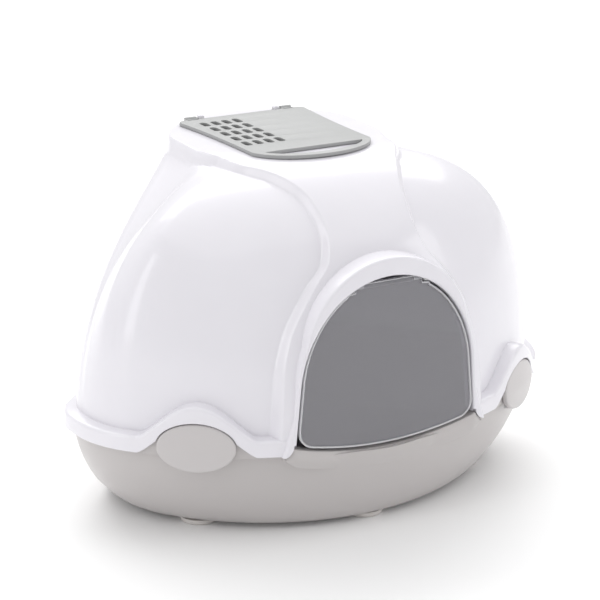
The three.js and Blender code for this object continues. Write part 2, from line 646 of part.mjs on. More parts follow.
// ---------------------------------------------------------------- swing flap
// Outline of the flap: a dipped lower edge, round corners, the doorway's arch and cut shoulders.
function flapShape() {
  const { cornerX, corner, bottom, shoulderX, shoulderZ, topX } = FLAP;
  const tilt = 2 * FLAP.smile * cornerX;
  const cornerZ = smileZ(FLAP, cornerX, bottom) + corner * Math.hypot(1, tilt);
  const topZ = FLAP.axisZ + FLAP.tubeR - 0.4;
  const right = [];
  const steps = 12;
  for (let i = 1; i < steps; i++) {
    const x = ((cornerX + corner * tilt) * i) / steps;
    right.push([x, smileZ(FLAP, x, bottom)]);
  }
  for (let i = 0; i <= 6; i++) {
    const angle = (-Math.PI / 2 + Math.atan(tilt)) * (1 - i / 6);
    right.push([cornerX + corner * Math.cos(angle), cornerZ + corner * Math.sin(angle)]);
  }
  const arch = doorShape(-FLAP.gap, 0).getPoints(12).map((p) => [p.x, p.y]);
  right.push(...arch.filter(([x, z]) => x > shoulderX && z > cornerZ && z < shoulderZ));
  right.push([shoulderX, shoulderZ], [topX, topZ]);
  const left = right.map(([x, z]) => [-x, z]).reverse();
  const points = [[0, bottom], ...right, ...left].map(([x, z]) => new THREE.Vector2(x, z));
  return new THREE.Shape(points);
}

function flap() {
  const front = FLAP.y - FLAP.thick / 2;
  const back = FLAP.y + FLAP.thick / 2;
  let solid = toSolid(prismAlongY(flapShape(), front, back));
  const tube = rod(new THREE.Vector3(-FLAP.tubeX, FLAP.y, FLAP.axisZ),
    new THREE.Vector3(FLAP.tubeX, FLAP.y, FLAP.axisZ), FLAP.tubeR);
  solid = solid.add(toSolid(tube));
  for (const side of [1, -1]) {
    const bore = rod(new THREE.Vector3(side * (FLAP_PIN.from - 0.4), FLAP.y, FLAP.axisZ),
      new THREE.Vector3(side * 60, FLAP.y, FLAP.axisZ), FLAP_PIN.bore);
    solid = solid.subtract(toSolid(bore));
  }
  return toGeometry(solid);
}
add('door_flap', flap(), finish.flap);

for (const [side, name] of [[-1, 'left'], [1, 'right']]) {
  add(`flap_pin_${name}`, rod(new THREE.Vector3(side * FLAP_PIN.from, FLAP.y, FLAP.axisZ),
    new THREE.Vector3(side * FLAP_PIN.to, FLAP.y, FLAP.axisZ), FLAP_PIN.r), finish.pin);
  const xs = FLAP_BRACKET.x.map((x) => side * x).sort((a, b) => a - b);
  const bore = rod(new THREE.Vector3(side * 38, FLAP.y, FLAP.axisZ),
    new THREE.Vector3(side * 52, FLAP.y, FLAP.axisZ), FLAP_PIN.bore);
  add(`flap_bracket_${name}`, toGeometry(
    toSolid(box(xs, FLAP_BRACKET.y, FLAP_BRACKET.z)).subtract(toSolid(bore))), finish.pin);
}

// ---------------------------------------------------------------- vent lid
function lidOutline() {
  const { front, back, halfFront, halfBack, waist, corner } = LID;
  const shape = new THREE.Shape();
  shape.moveTo(-halfFront, front);
  const reach = front - LID.bow / 0.75;
  shape.bezierCurveTo(-halfFront * 0.75, reach, halfFront * 0.75, reach, halfFront, front);
  shape.quadraticCurveTo((halfFront + halfBack) / 2 - waist, (front + back) / 2, halfBack, back - corner);
  shape.quadraticCurveTo(halfBack + 1, back, halfBack - corner, back);
  shape.lineTo(-halfBack + corner, back);
  shape.quadraticCurveTo(-halfBack - 1, back, -halfBack, back - corner);
  shape.quadraticCurveTo(-(halfFront + halfBack) / 2 + waist, (front + back) / 2, -halfFront, front);
  return shape;
}

function fingerWindow() {
  const { windowHalf, windowBack, bow, bowWidth, front } = LID;
  const shape = new THREE.Shape();
  shape.moveTo(-windowHalf, windowBack);
  const reach = windowBack - (bow - bowWidth + windowBack - front) / 0.75;
  shape.bezierCurveTo(-windowHalf * 0.75, reach, windowHalf * 0.75, reach, windowHalf, windowBack);
  shape.closePath();
  return shape;
}

function slotShape(x, y) {
  const r = SLOT.width / 2;
  const straight = SLOT.length / 2 - r;
  const shape = new THREE.Shape();
  shape.moveTo(x + r, y - straight);
  shape.lineTo(x + r, y + straight);
  shape.absarc(x, y + straight, r, 0, Math.PI, false);
  shape.absarc(x, y - straight, r, Math.PI, 2 * Math.PI, false);
  return shape;
}

const onLidAxis = (x) => new THREE.Vector3(x, LID_PIN.y, LID_PIN.z);

function lid() {
  const low = PLATEAU_TOP + LID.gap;
  let solid = toSolid(prism(lidOutline(), low, low + LID.thick, 10));
  solid = solid.subtract(toSolid(prism(fingerWindow(), low - 1, low + LID.thick + 1, 12)));
  for (let row = 0; row < SLOT.rows; row++) {
    for (let column = 0; column < SLOT.columns; column++) {
      const hole = slotShape(SLOT.firstX + column * SLOT.pitchX, SLOT.firstY - row * SLOT.pitchY);
      solid = solid.subtract(toSolid(prism(hole, low - 1, low + LID.thick + 1, 3)));
    }
  }
  for (const side of [1, -1]) {
    const xs = [side * LID_PIN.from, side * LID_PIN.to].sort((a, b) => a - b);
    const knuckle = rod(onLidAxis(xs[0]), onLidAxis(xs[1]), LID_PIN.knuckleR);
    const web = box(xs, [LID.back - 4, LID_PIN.y], [low + 0.4, low + LID.thick]);
    const bore = rod(onLidAxis(xs[0] - 4), onLidAxis(xs[1] + 4), LID_PIN.bore);
    solid = solid.add(toSolid(web)).add(toSolid(knuckle)).subtract(toSolid(bore));
  }
  return toGeometry(solid);
}
add('vent_lid', lid(), finish.lid);

for (const [side, name] of [[-1, 'left'], [1, 'right']]) {
  add(`lid_pin_${name}`, rod(onLidAxis(side * (LID_PIN.boss - 4)), onLidAxis(side * LID_PIN.to), LID_PIN.r),
    finish.pin);
}

// ---------------------------------------------------------------- carbon filter in its frame
function filterFrame() {
  const { gap, wall, floor, border, columns, rows, bar } = FRAME;
  const half = VENT.half - gap;
  const front = VENT.front + gap;
  const back = VENT.back - gap;
  const low = VENT.ledgeZ + FRAME.lift;
  const outer = roundedRectangle(half, front, back, VENT.corner);
  const hollow = roundedRectangle(half - wall, front + wall, back - wall, VENT.corner - wall);
  let solid = toSolid(prism(outer, low, low + FRAME.height, 5));
  solid = solid.subtract(toSolid(prism(hollow, low + floor, low + FRAME.height + 1, 5)));
  const cellX = (2 * (half - border)) / columns;
  const cellY = (back - front - 2 * border) / rows;
  for (let i = 0; i < columns; i++) {
    for (let j = 0; j < rows; j++) {
      const x = -half + border + i * cellX;
      const y = front + border + j * cellY;
      solid = solid.subtract(toSolid(box([x + bar / 2, x + cellX - bar / 2],
        [y + bar / 2, y + cellY - bar / 2], [low - 1, low + floor + 1])));
    }
  }
  return toGeometry(solid);
}
add('filter_frame', filterFrame(), finish.lid);

function filterPad() {
  const side = FRAME.gap + FRAME.wall + PAD.gap;
  const low = VENT.ledgeZ + FRAME.lift + FRAME.floor + PAD.lift;
  const shape = roundedRectangle(VENT.half - side, VENT.front + side, VENT.back - side, VENT.corner - 4);
  return prism(shape, low, low + PAD.height, 5);
}
add('carbon_filter', filterPad(), finish.filter);

export default model;
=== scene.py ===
import math

import bpy
import numpy as np
from mathutils import Matrix, Vector


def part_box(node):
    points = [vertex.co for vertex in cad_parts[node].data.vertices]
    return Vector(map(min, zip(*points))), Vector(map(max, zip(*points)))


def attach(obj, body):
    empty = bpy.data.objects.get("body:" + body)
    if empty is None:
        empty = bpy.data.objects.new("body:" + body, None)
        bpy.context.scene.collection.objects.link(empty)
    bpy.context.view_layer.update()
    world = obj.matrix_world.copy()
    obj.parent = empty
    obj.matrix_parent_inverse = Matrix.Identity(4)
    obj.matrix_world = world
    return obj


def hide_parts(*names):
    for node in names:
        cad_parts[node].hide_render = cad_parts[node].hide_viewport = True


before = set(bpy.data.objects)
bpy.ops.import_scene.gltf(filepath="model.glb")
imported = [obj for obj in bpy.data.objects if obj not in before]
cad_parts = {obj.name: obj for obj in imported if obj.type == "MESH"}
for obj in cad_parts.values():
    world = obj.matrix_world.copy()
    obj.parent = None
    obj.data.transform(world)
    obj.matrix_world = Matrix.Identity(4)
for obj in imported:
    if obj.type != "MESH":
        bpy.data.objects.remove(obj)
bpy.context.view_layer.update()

# Looks of the hooded corner litter box: moulded shells, smoked flap, vent lid, latches and pads.
MM = 0.001
SHIFT = -7.55                    # the outlines' own y origin, in mm, from the middle of the box

# Half outlines in mm from the middle of the front to the back corner: a front arc, a side arc,
# a straight side, a corner arc, a wall at 45 degrees and the rounded back corner.
RIM = dict(half=286, front=-233, front_r=344, side_y=-39, side=8, corner_r=58, back_r=100)
FOOT = dict(half=272, front=-219, front_r=330, side_y=-39, side=8, corner_r=48, back_r=96)
TOP = dict(half=110, front=-76, front_r=140, side_y=6, side=56, corner_r=60, back_r=118)
TRAY_TOP = dict(half=275, front=-222, front_r=333, side_y=-39, side=8, corner_r=50, back_r=96)
TRAY_BASE = dict(half=218, front=-187, front_r=245, side_y=-23, side=20, corner_r=80, back_r=90)

RIM_BOTTOM = 101
LEDGE_TOP = 119
LEDGE_THICK = 3
LIP_THICK = 3
LIP_ROUND = 4
WALL = 3
FOOT_Z = 109
DOME_TOP = 371
PLATEAU_TOP = 380
BAND_RAISE = 9
TRAY_WALL_TOP = 97
TRAY_BOTTOM = 6
FLOOR_THICK = 3.2

# Station, rise before the wall turns in, reach of the top, angle at which the wall meets the top.
PROFILE = [(0, 0.62, 0.70, 0), (0.6, 0.64, 0.72, 0), (1, 0.70, 0.72, 2), (1.6, 0.70, 0.64, 14),
           (2, 0.66, 0.45, 30), (3, 0.62, 0.22, 48), (4, 0.60, 0.20, 52), (6, 0.60, 0.20, 54)]
# Height plus depth of a point on the front band, and the band's half width there.
BAND = [(-123, 128), (-11, 121), (32, 111), (82, 83), (112, 60), (147, 54), (199, 58), (261, 77),
        (308, 100), (420, 112)]

DOOR = dict(top=281.5, top_r=98, side_r=125, turn=50, end=86, foot=112, lobe_r=13)
PORTAL = dict(face=-215, lean=0.03, ring_r=99, ring_z=203, depth=90, strip=4, jamb=12)
ROOM = dict(grow=2, half=90, low=110, back=-120, front=8)   # hollow behind the portal's face
SILL = dict(top=92.8, smile=0.0013, low=99, drop=24, front=-215, back=-206, half=121, lobe_gap=1.2)
FLAP = dict(gap=2.4, thick=3, y=-213, bottom=96.6, smile=0.00125, corner=19, corner_x=87, axis_z=273.5,
            tube_r=3.4, tube_x=38, shoulder_z=267.2, shoulder_x=49.5, neck_x=40)
VENT = dict(half=66, front=-44, back=104, corner=14, ledge=6, ledge_z=372)
LID = dict(front=-51, back=116, half_front=73, half_back=80, waist=5, corner=9, thick=4, gap=0.4,
           bow=40, bow_width=11, window_half=60, window_back=-56)
LID_PIN = dict(y=121.5, z=383.5, r=2.9, bore=1.6, boss=48, start=54, stop=68)
SLOT = dict(columns=4, rows=5, pitch_x=13.5, pitch_y=25, width=8.2, length=18.5,
            first_x=-59, first_y=88)
LATCH = dict(half=42, tall=26, z=110.5, angle=math.radians(-54), gap=1.5, bump=64, rise=37, power=1.3)
LATCH_PIN = dict(z=92, inset=6.9, knuckle_r=3.6, start=16, stop=24, bore=1.8, boss=14, boss_r=2.5)


# ---------------------------------------------------------------- meshes
def mesh_object(name, points, faces):
    """A mesh from points in mm in the outlines' frame."""
    data = bpy.data.meshes.new(name)
    placed = [(x * MM, (y + SHIFT) * MM, z * MM) for x, y, z in np.asarray(points, float)]
    data.from_pydata(placed, [], faces)
    data.validate()
    obj = bpy.data.objects.new(name, data)
    bpy.context.scene.collection.objects.link(obj)
    return obj


def tube_faces(rows, columns, close_rows=False):
    faces = []
    for i in range(rows if close_rows else rows - 1):
        k = (i + 1) % rows
        for j in range(columns):
            n = (j + 1) % columns
            faces.append((i * columns + j, i * columns + n, k * columns + n, k * columns + j))
    return faces


def skin(name, rings, caps=True):
    """Closed body over rings of equal length that run counter-clockwise and upwards."""
    rings = [np.asarray(r, float) for r in rings]
    count = len(rings[0])
    faces = tube_faces(len(rings), count)
    if caps:
        faces.append(tuple(range(count))[::-1])
        last = (len(rings) - 1) * count
        faces.append(tuple(range(last, last + count)))
    return mesh_object(name, np.vstack(rings), faces)


def loop_band(name, rings):
    """Closed ring-shaped body: the last ring joins the first."""
    rings = [np.asarray(r, float) for r in rings]
    return mesh_object(name, np.vstack(rings), tube_faces(len(rings), len(rings[0]), True))


def boolean(obj, other, how):
    """Joins or cuts obj with other and removes other."""
    step = obj.modifiers.new(how, "BOOLEAN")
    step.operation = how
    step.solver = "MANIFOLD"
    step.object = other
    bpy.context.view_layer.update()
    graph = bpy.context.evaluated_depsgraph_get()
    data = bpy.data.meshes.new_from_object(obj.evaluated_get(graph))
    if not data.polygons:
        raise RuntimeError(f"{how} of {obj.name} with {other.name} left nothing")
    obj.modifiers.clear()
    obj.data = data
    bpy.data.objects.remove(other)
    return obj


def cut(obj, other):
    return boolean(obj, other, "DIFFERENCE")


def join(obj, other):
    return boolean(obj, other, "UNION")


def merge_objects(name, parts):
    """One object from several separate closed bodies of the same piece."""
    bpy.ops.object.select_all(action="DESELECT")
    for part in parts:
        part.select_set(True)
    bpy.context.view_layer.objects.active = parts[0]
    bpy.ops.object.join()
    parts[0].name = name
    return parts[0]


def smooth(obj, angle=30):
    obj.data.shade_smooth()
    bpy.ops.object.select_all(action="DESELECT")
    obj.select_set(True)
    bpy.context.view_layer.objects.active = obj
    obj.data.set_sharp_from_angle(angle=math.radians(angle))
    return obj


def dress(obj, body, slot, material, *nodes):
    """Gives a finished piece its material and its body, and hides the CAD nodes it stands for."""
    for index in range(max(len(obj.data.materials), 1)):
        if index < len(obj.data.materials):
            obj.data.materials[index] = material
        else:
            obj.data.materials.append(material)
    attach(obj, body)
    if nodes:
        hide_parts(*nodes)
    return obj


# ---------------------------------------------------------------- outlines
def outline_arcs(o):
    front_y = o["front"] + o["front_r"]
    dy = o["side_y"] - front_y
    side_r = (o["front_r"] ** 2 - o["half"] ** 2 - dy ** 2) / (2 * (o["front_r"] - o["half"]))
    side_x = o["half"] - side_r
    meet = math.atan2(dy, side_x)
    corner = (o["half"] - o["corner_r"], o["side_y"] + o["side"])
    back_y = corner[0] + corner[1] + (o["corner_r"] - o["back_r"]) * math.sqrt(2)
    return front_y, side_r, side_x, meet, corner, back_y


def outline_point(o, t):
    """Point of a half outline at station t: 0 is the front middle and 6 the back corner."""
    front_y, side_r, side_x, meet, corner, back_y = outline_arcs(o)
    part = min(int(t), 5)
    u = t - part

    def arc(x, y, r, angle):
        return np.array([x + r * math.cos(angle), y + r * math.sin(angle)])

    if part == 0:
        return arc(0, front_y, o["front_r"], -math.pi / 2 + u * (meet + math.pi / 2))
    if part == 1:
        return arc(side_x, o["side_y"], side_r, meet * (1 - u))
    if part == 2:
        return np.array([o["half"], o["side_y"] + u * o["side"]])
    if part == 3:
        return arc(*corner, o["corner_r"], u * math.pi / 4)
    if part == 4:
        start = arc(*corner, o["corner_r"], math.pi / 4)
        return start + (arc(0, back_y, o["back_r"], math.pi / 4) - start) * u
    return arc(0, back_y, o["back_r"], (math.pi / 4) * (1 + u))


def inset(o, d):
    return dict(o, half=o["half"] - d, front=o["front"] + d, front_r=o["front_r"] - d,
                corner_r=max(o["corner_r"] - d, 6), back_r=max(o["back_r"] - d, 6))


def stations(steps):
    found = [part + i / count for part, count in enumerate(steps) for i in range(count)]
    return found + [6]


def whole(half):
    """A whole ring, counter-clockwise from the front middle, from the points of its right half."""
    half = [np.asarray(p, float) for p in half]
    left = [p * (-1, 1, 1) for p in half[-2:0:-1]]
    return np.array(half + left)


def flat_ring(o, z, stops):
    return whole([(*outline_point(o, t), z) for t in stops])


def interpolate(table, at, column):
    """Value of a column of a table at a place, on a smooth curve without overshoot."""
    x = np.array([row[0] for row in table], float)
    y = np.array([row[column] for row in table], float)
    slope = np.diff(y) / np.diff(x)
    tangent = np.zeros(len(x))
    for i in range(1, len(x) - 1):
        if slope[i - 1] * slope[i] > 0:
            tangent[i] = 2 * slope[i - 1] * slope[i] / (slope[i - 1] + slope[i])
    at = min(max(at, x[0]), x[-1])
    i = min(int(np.searchsorted(x, at, side="right")) - 1, len(x) - 2)
    h = x[i + 1] - x[i]
    u = (at - x[i]) / h
    return float(y[i] * (2 * u ** 3 - 3 * u * u + 1) + h * tangent[i] * (u ** 3 - 2 * u * u + u)
                 + y[i + 1] * (3 * u * u - 2 * u ** 3) + h * tangent[i + 1] * (u ** 3 - u * u))


def smoothstep(x, low, high):
    u = np.clip((x - low) / (high - low), 0, 1)
    return u * u * (3 - 2 * u)


LATCH_MID = np.array([RIM["front_r"] * math.cos(LATCH["angle"]),
                      RIM["front"] + RIM["front_r"] + RIM["front_r"] * math.sin(LATCH["angle"])])


def arch_rise(x, y):
    """How much the skirt rises at a place, above the two latches."""
    along = math.hypot(abs(x) - LATCH_MID[0], y - LATCH_MID[1])
    if along >= LATCH["bump"]:
        return 0
    return LATCH["rise"] * math.cos((math.pi / 2) * along / LATCH["bump"]) ** LATCH["power"]


def arched_ring(o, z, stops):
    points = []
    for t in stops:
        rim = outline_point(RIM, t)
        points.append((*outline_point(o, t), z + arch_rise(*rim)))
    return whole(points)


# ---------------------------------------------------------------- hood shell
def dome_point(t, s, depth=0.0):
    """Point of the plain dome: s runs from its foot to its top, depth is measured inwards."""
    foot = outline_point(inset(FOOT, depth), t)
    top = outline_point(inset(TOP, depth), t)
    up = interpolate(PROFILE, t, 1)
    over = interpolate(PROFILE, t, 2)
    angle = math.radians(interpolate(PROFILE, t, 3))
    r = 1 - s
    out = r ** 3 + 3 * r * r * s + 3 * r * s * s * over * math.cos(angle)
    rise = 3 * r * r * s * up + 3 * r * s * s * (1 - over * math.sin(angle)) + s ** 3
    plan = top + (foot - top) * out
    return np.array([*plan, FOOT_Z + (DOME_TOP - depth - FOOT_Z) * rise])


def band_half(p):
    return interpolate(BAND, p[1] + p[2], 1)


def band_station(s):
    """Station where the edge of the front band crosses the level s."""
    low, high = 0.0, 1.999
    for _ in range(30):
        middle = (low + high) / 2
        p = dome_point(middle, s)
        if p[0] < band_half(p):
            low = middle
        else:
            high = middle
    return low


STEP_HALF = 4.6                 # half width of the soft step at the band's edge
STEP_COLUMNS = 14
PLATEAU_REACH = 8.0             # how far the foot of the plateau's slope lies past the top outline
PLATEAU_SLOPE = 7.0             # width of that slope in plan


def level_stations(s):
    """Stations of one level, crowded where the band's edge crosses it."""
    edge = band_station(s)
    a = dome_point(edge, s)
    b = dome_point(min(edge + 0.02, 2), s)
    per_mm = 0.02 / max(float(np.linalg.norm(b - a)), 0.05)
    low = max(edge - STEP_HALF * per_mm, 0.05)
    high = min(edge + STEP_HALF * per_mm, 1.98)
    inner = list(np.linspace(0, low, 34, endpoint=False))
    step = list(np.linspace(low, high, STEP_COLUMNS, endpoint=False))
    outer = list(np.linspace(high, 2, 44, endpoint=False))
    rest = [2 + t for t in stations([2, 26, 12, 24]) if t < 4]
    return inner + step + outer + rest + [6]


def raised(t, s):
    """Outer face: the dome with the front band and the plateau pushed out of it."""
    p = dome_point(t, s)
    beyond = float(np.linalg.norm(p[:2] - outline_point(TOP, t)))
    flat = float(np.clip((PLATEAU_REACH - beyond) / PLATEAU_SLOPE, 0, 1))
    flat = 0.5 * flat + 0.5 * float(smoothstep(flat, 0, 1))
    plateau = p[2] + (PLATEAU_TOP - p[2]) * flat
    if p[1] > TOP["front"] + 80:
        p[2] = plateau
        return p
    x = float(np.clip((band_half(p) + 3.5 - abs(p[0])) / 7, 0, 1))
    mask = 0.5 * x + 0.5 * float(smoothstep(x, 0, 1))
    lift = float(smoothstep(p[2], 250, 350))
    push = np.array([0, lift - 1, lift])
    low = 1 + 0.45 * (1 - float(smoothstep(p[2], 140, 230)))
    p = p + push / np.linalg.norm(push) * BAND_RAISE * low * mask
    p[2] = max(p[2], plateau)
    return p


def dome_solid():
    levels = [*np.linspace(0, 0.8, 48, endpoint=False), *np.linspace(0.8, 0.93, 9, endpoint=False),
              *np.linspace(0.93, 1, 20)]
    rings = []
    for s in levels:
        half = [raised(t, s) for t in level_stations(s)]
        rings.append(whole(half))
    return skin("hood_shell_visual", rings)


def dome_inside():
    rings = []
    stops = stations([24, 14, 2, 10, 4, 10])
    for s in np.linspace(0, 1, 40):
        rings.append(whole([dome_point(t, s, WALL) for t in stops]))
    low = rings[0].copy()
    low[:, 2] -= 12
    return skin("inside", [low, *rings])


EDGE_STOPS = stations([90, 16, 2, 16, 6, 16])


def foot_ring(z, depth):
    """Ring inside the dome's wall at the height of the arched ledge."""
    points = []
    for t in EDGE_STOPS:
        rim = outline_point(RIM, t)
        height = z + arch_rise(*rim)
        low, high = 0.0, 1.0
        for _ in range(18):
            middle = (low + high) / 2
            if dome_point(t, middle, depth)[2] < height:
                low = middle
            else:
                high = middle
        p = dome_point(t, low, depth)
        points.append((p[0], p[1], height))
    return whole(points)


def skirt_solid():
    """An upright lip and a ledge back to the foot of the dome, arched over the latches."""
    under = LEDGE_TOP - LEDGE_THICK
    rings = [arched_ring(inset(RIM, 0.8), RIM_BOTTOM, EDGE_STOPS),
             arched_ring(RIM, RIM_BOTTOM + 0.8, EDGE_STOPS)]
    for turn in np.linspace(0, math.pi / 2, 6):
        rings.append(arched_ring(inset(RIM, LIP_ROUND * (1 - math.cos(turn))),
                                 LEDGE_TOP - LIP_ROUND * (1 - math.sin(turn)), EDGE_STOPS))
    rings.append(foot_ring(LEDGE_TOP + 1.2, 0.4))
    rings.append(foot_ring(LEDGE_TOP + 1.2, WALL - 0.8))
    rings.append(foot_ring(under, WALL - 0.8))
    rings.append(arched_ring(inset(RIM, LIP_THICK), under, EDGE_STOPS))
    rings.append(arched_ring(inset(RIM, LIP_THICK), RIM_BOTTOM + 0.8, EDGE_STOPS))
    return loop_band("skirt", rings)


def arc_points(cx, cz, r, start, stop, count):
    return [(cx + r * math.cos(a), cz + r * math.sin(a)) for a in np.linspace(start, stop, count)]


def door_line(grow, bottom):
    """Doorway outline in x and z, counter-clockwise from the bottom left."""
    turn, end = math.radians(DOOR["turn"]), math.radians(DOOR["end"])
    top_z = DOOR["top"] - DOOR["top_r"]
    side_x = (DOOR["top_r"] - DOOR["side_r"]) * math.sin(turn)
    side_z = top_z + (DOOR["top_r"] - DOOR["side_r"]) * math.cos(turn)
    quarter = math.pi / 2
    line = [(-DOOR["foot"] - grow, bottom), (DOOR["foot"] + grow, bottom)]
    line += arc_points(side_x, side_z, DOOR["side_r"] + grow, quarter - end, quarter - turn, 20)
    line += arc_points(0, top_z, DOOR["top_r"] + grow, quarter - turn, quarter + turn, 44)[1:-1]
    line += arc_points(-side_x, side_z, DOOR["side_r"] + grow, quarter + turn, quarter + end, 20)
    return line


def along_y(name, lines_and_depths):
    """Body along y through outlines in x and z, from the back to the front."""
    rings = []
    for line, depth in lines_and_depths:
        rings.append([(x, depth(x, z) if callable(depth) else depth, z) for x, z in line])
    return skin(name, rings)


def portal_line(shrink):
    r = PORTAL["ring_r"] - shrink
    foot = DOOR["foot"] + PORTAL["jamb"] - shrink
    low = PORTAL["ring_z"] - 64
    line = [(-foot, RIM_BOTTOM), (foot, RIM_BOTTOM), (DOOR["foot"] - shrink, low)]
    line += arc_points(0, PORTAL["ring_z"], r, -0.1, math.pi + 0.1, 60)
    line += [(-DOOR["foot"] + shrink, low)]
    return line


def face_y(x, z, back=0.0):
    return PORTAL["face"] - PORTAL["lean"] * (z - RIM_BOTTOM) + back


def portal_solid():
    stack = [(portal_line(0), PORTAL["face"] + PORTAL["depth"])]
    for turn in np.linspace(0, math.pi / 2, 6):
        back = 3 * (1 - math.sin(turn))
        shrink = 3 * (1 - math.cos(turn))
        stack.append((portal_line(shrink), lambda x, z, back=back: face_y(x, z, back)))
    strip = []
    for shrink, back in ((0, PORTAL["depth"]), (0, 2), (0.6, 0.6), (2, 0.02)):
        line = door_line(PORTAL["strip"] - shrink, RIM_BOTTOM)
        strip.append((line, lambda x, z, back=back: face_y(x, z, back)))
    return join(along_y("portal", stack), along_y("strip", strip))


def door_cutter():
    """Cuts the doorway and rounds its edge."""
    bottom = RIM_BOTTOM - 30
    stack = [(door_line(0, bottom), -100)]
    for turn in np.linspace(0, math.pi / 2, 6):
        grow = 2.5 * (1 - math.cos(turn))
        back = 2.5 * (1 - math.sin(turn))
        stack.append((door_line(grow, bottom), lambda x, z, back=back: face_y(x, z, back)))
    stack.append((door_line(2.5, bottom), -330))
    return along_y("door_cutter", stack)


def lobe_cutter(side):
    x, r, low = DOOR["foot"], DOOR["lobe_r"], RIM_BOTTOM - 0.5
    line = [(x - 3, low - 5), (x + r, low - 5)]
    line += arc_points(x + r, low + r, r, -math.pi / 2, -math.pi, 14)
    line += [(x - 3, low + r)]
    line = [(side * a, b) for a, b in line]
    if side < 0:
        line = line[::-1]
    return along_y("lobe", [(line, -150), (line, -300)])


def round_box(half, front, back, corner, steps=8):
    line = arc_points(half - corner, back - corner, corner, 0, math.pi / 2, steps)
    line += arc_points(-half + corner, back - corner, corner, math.pi / 2, math.pi, steps)
    line += arc_points(-half + corner, front + corner, corner, math.pi, 1.5 * math.pi, steps)
    line += arc_points(half - corner, front + corner, corner, 1.5 * math.pi, 2 * math.pi, steps)
    return line


def upright(name, lines_and_heights):
    return skin(name, [[(x, y, z) for x, y in line] for line, z in lines_and_heights])


def latch_place(side):
    """Matrix from x along the edge, y up and z outwards to one latch's place, in mm."""
    out = Vector((side * math.cos(LATCH["angle"]), math.sin(LATCH["angle"]), 0))
    up = Vector((0, 0, 1))
    along = up.cross(out)
    place = Matrix((along, up, out)).transposed().to_4x4()
    place.translation = (side * LATCH_MID[0], LATCH_MID[1], 0)
    return place


def placed(place, points):
    return [tuple(place @ Vector(p)) for p in points]


def ellipse(grow, depth, count=72):
    angles = np.linspace(0, 2 * math.pi, count, endpoint=False)
    half, tall = LATCH["half"] + grow, LATCH["tall"] + grow
    return [(half * math.cos(a), LATCH["z"] + tall * math.sin(a), depth) for a in angles]


def latch_cutter(side):
    place = latch_place(side)
    rings = [ellipse(LATCH["gap"], -12)]
    for turn in np.linspace(0, math.pi / 2, 5):
        rings.append(ellipse(LATCH["gap"] + 2 * (1 - math.cos(turn)), -1.5 + 2 * math.sin(turn)))
    rings.append(ellipse(LATCH["gap"] + 2, 12))
    return skin("latch_cutter", [placed(place, r) for r in rings])


def rod(name, start, stop, radius, sides=28, chamfer=0.5):
    """Round bar with chamfered ends."""
    start, stop = Vector(start), Vector(stop)
    turn = (stop - start).to_track_quat("Z", "Y").to_matrix()
    length = (stop - start).length
    rings = []
    for along, r in ((0, radius - chamfer), (chamfer, radius), (length - chamfer, radius),
                     (length, radius - chamfer)):
        rings.append([tuple(start + turn @ Vector((r * math.cos(a), r * math.sin(a), along)))
                      for a in np.linspace(0, 2 * math.pi, sides, endpoint=False)])
    return skin(name, rings)


def soft_box(name, x, y, z, round_by=1.0):
    """Box with its upright edges rounded and its upper and lower edges chamfered."""
    cx, cy = (x[0] + x[1]) / 2, (y[0] + y[1]) / 2
    half_x, half_y = (x[1] - x[0]) / 2, (y[1] - y[0]) / 2

    def ring(shrink):
        line = []
        for sx, sy, start in ((1, 1, 0), (-1, 1, 1), (-1, -1, 2), (1, -1, 3)):
            corner_x = cx + sx * (half_x - round_by)
            corner_y = cy + sy * (half_y - round_by)
            line += arc_points(corner_x, corner_y, round_by - shrink, start * math.pi / 2,
                               (start + 1) * math.pi / 2, 5)
        return line
    c = round_by * 0.5
    return upright(name, [(ring(c), z[0]), (ring(0), z[0] + c), (ring(0), z[1] - c), (ring(c), z[1])])


def hood():
    inner = dome_inside()
    solid = join(dome_solid(), portal_solid())
    solid = cut(solid, inner)
    half = ROOM["half"]
    line = [(min(max(x, -half), half), z) for x, z in door_line(ROOM["grow"], ROOM["low"])]
    room = along_y("room", [(line, ROOM["back"]), (line, PORTAL["face"] + ROOM["front"])])
    solid = cut(solid, room)
    solid = join(solid, skirt_solid())
    solid = cut(solid, door_cutter())
    for side in (1, -1):
        solid = cut(solid, lobe_cutter(side))
        solid = cut(solid, latch_cutter(side))
    outer = round_box(VENT["half"], VENT["front"], VENT["back"], VENT["corner"])
    d = VENT["ledge"]
    inner_line = round_box(VENT["half"] - d, VENT["front"] + d, VENT["back"] - d, VENT["corner"] - d)
    solid = cut(solid, upright("vent", [(outer, VENT["ledge_z"]), (outer, 420)]))
    solid = cut(solid, upright("vent_low", [(inner_line, 300), (inner_line, 420)]))
    for side in (1, -1):
        middle = side * LID_PIN["boss"]
        boss = soft_box("boss", (middle - 3, middle + 3), (LID_PIN["y"] - 4, LID_PIN["y"] + 4),
                        (PLATEAU_TOP - 1, LID_PIN["z"] + 3.6))
        solid = join(solid, boss)
        start, stop = [(side * x, LID_PIN["y"], LID_PIN["z"]) for x in (40, 56)]
        bore = rod("bore", start, stop, LID_PIN["bore"], chamfer=0)
        solid = cut(solid, bore)
    return smooth(solid, 28)


# ---------------------------------------------------------------- tray
def tray_ring(stops, level, depth):
    turn = level * math.pi / 2
    out = math.cos(turn) ** 1.38
    down = math.sin(turn) ** 1.38
    top, base = inset(TRAY_TOP, depth), inset(TRAY_BASE, depth)
    low = TRAY_BOTTOM + (FLOOR_THICK if depth > 0 else 0)
    points = []
    for t in stops:
        a, b = outline_point(top, t), outline_point(base, t)
        p = b + (a - b) * out
        points.append((*p, TRAY_WALL_TOP - (TRAY_WALL_TOP - low) * down))
    return whole(points)


TRAY_STOPS = stations([60, 20, 3, 14, 6, 16])


